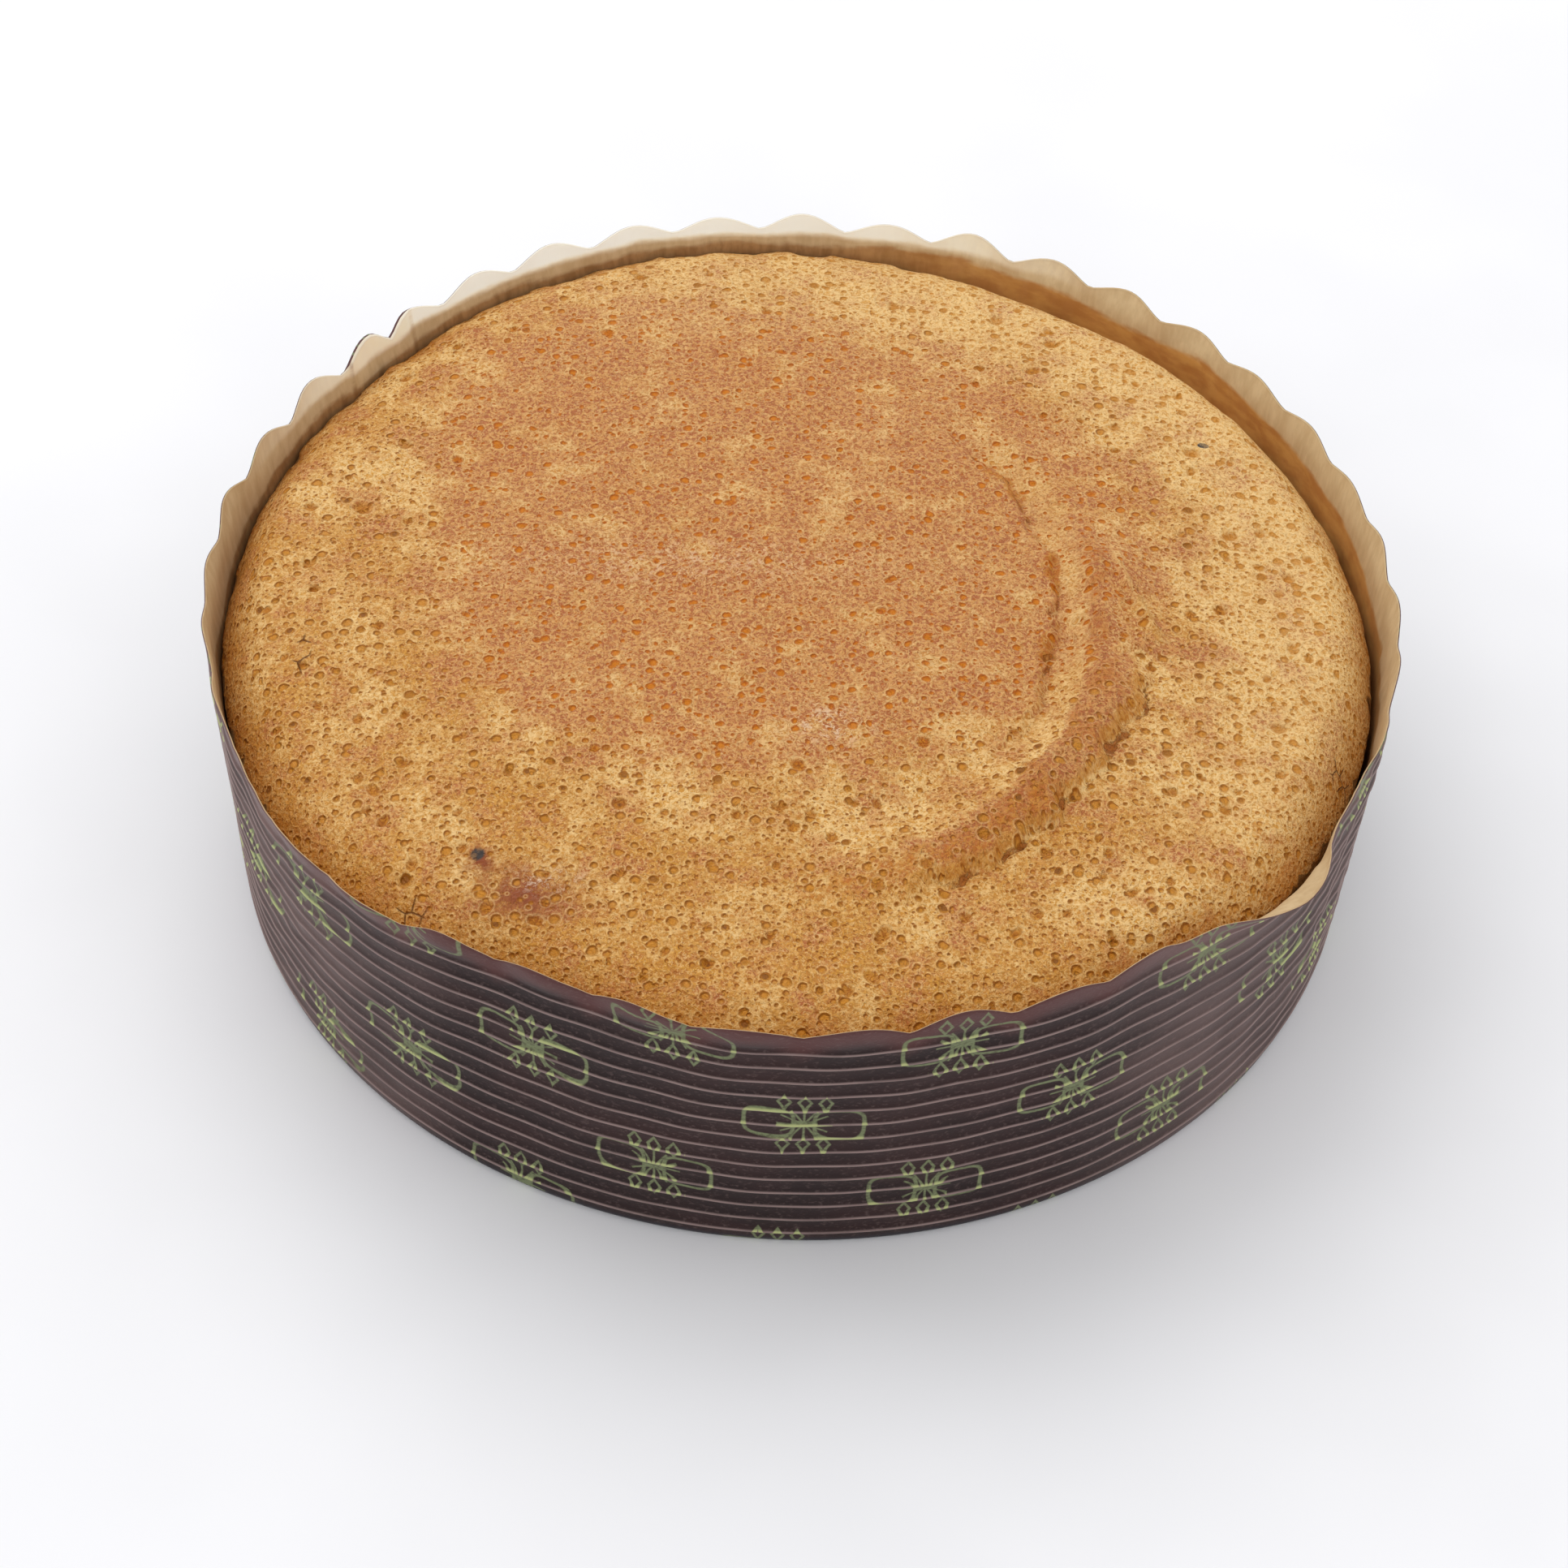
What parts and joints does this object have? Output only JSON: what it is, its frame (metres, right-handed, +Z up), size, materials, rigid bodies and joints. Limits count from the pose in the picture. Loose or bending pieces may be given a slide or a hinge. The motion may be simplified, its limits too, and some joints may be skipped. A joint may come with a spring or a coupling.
{
  "type": "almond cake in a paper baking case",
  "caption": "Round golden almond cake with a domed, pitted top, in a low ribbed brown paper baking case with a scalloped edge.",
  "frame": {"origin": "middle of the case's footprint, on the surface it stands on", "axes": "+Z up out of the cake, -Y towards the side seen in the picture, +X to its right"},
  "size_m": [0.1934, 0.1944, 0.0576],
  "materials": {
    "crust": "golden baked cake crust, matt, with a slight sheen of fat",
    "brown_paper": "dark brown baking paper with a low sheen and a gold-green print",
    "kraft_paper": "plain brown kraft, matt"
  },
  "bodies": {
    "root": {"cake": "crust", "case_wall": "brown_paper", "case_base": "kraft_paper"}
  },
  "joints": []
}
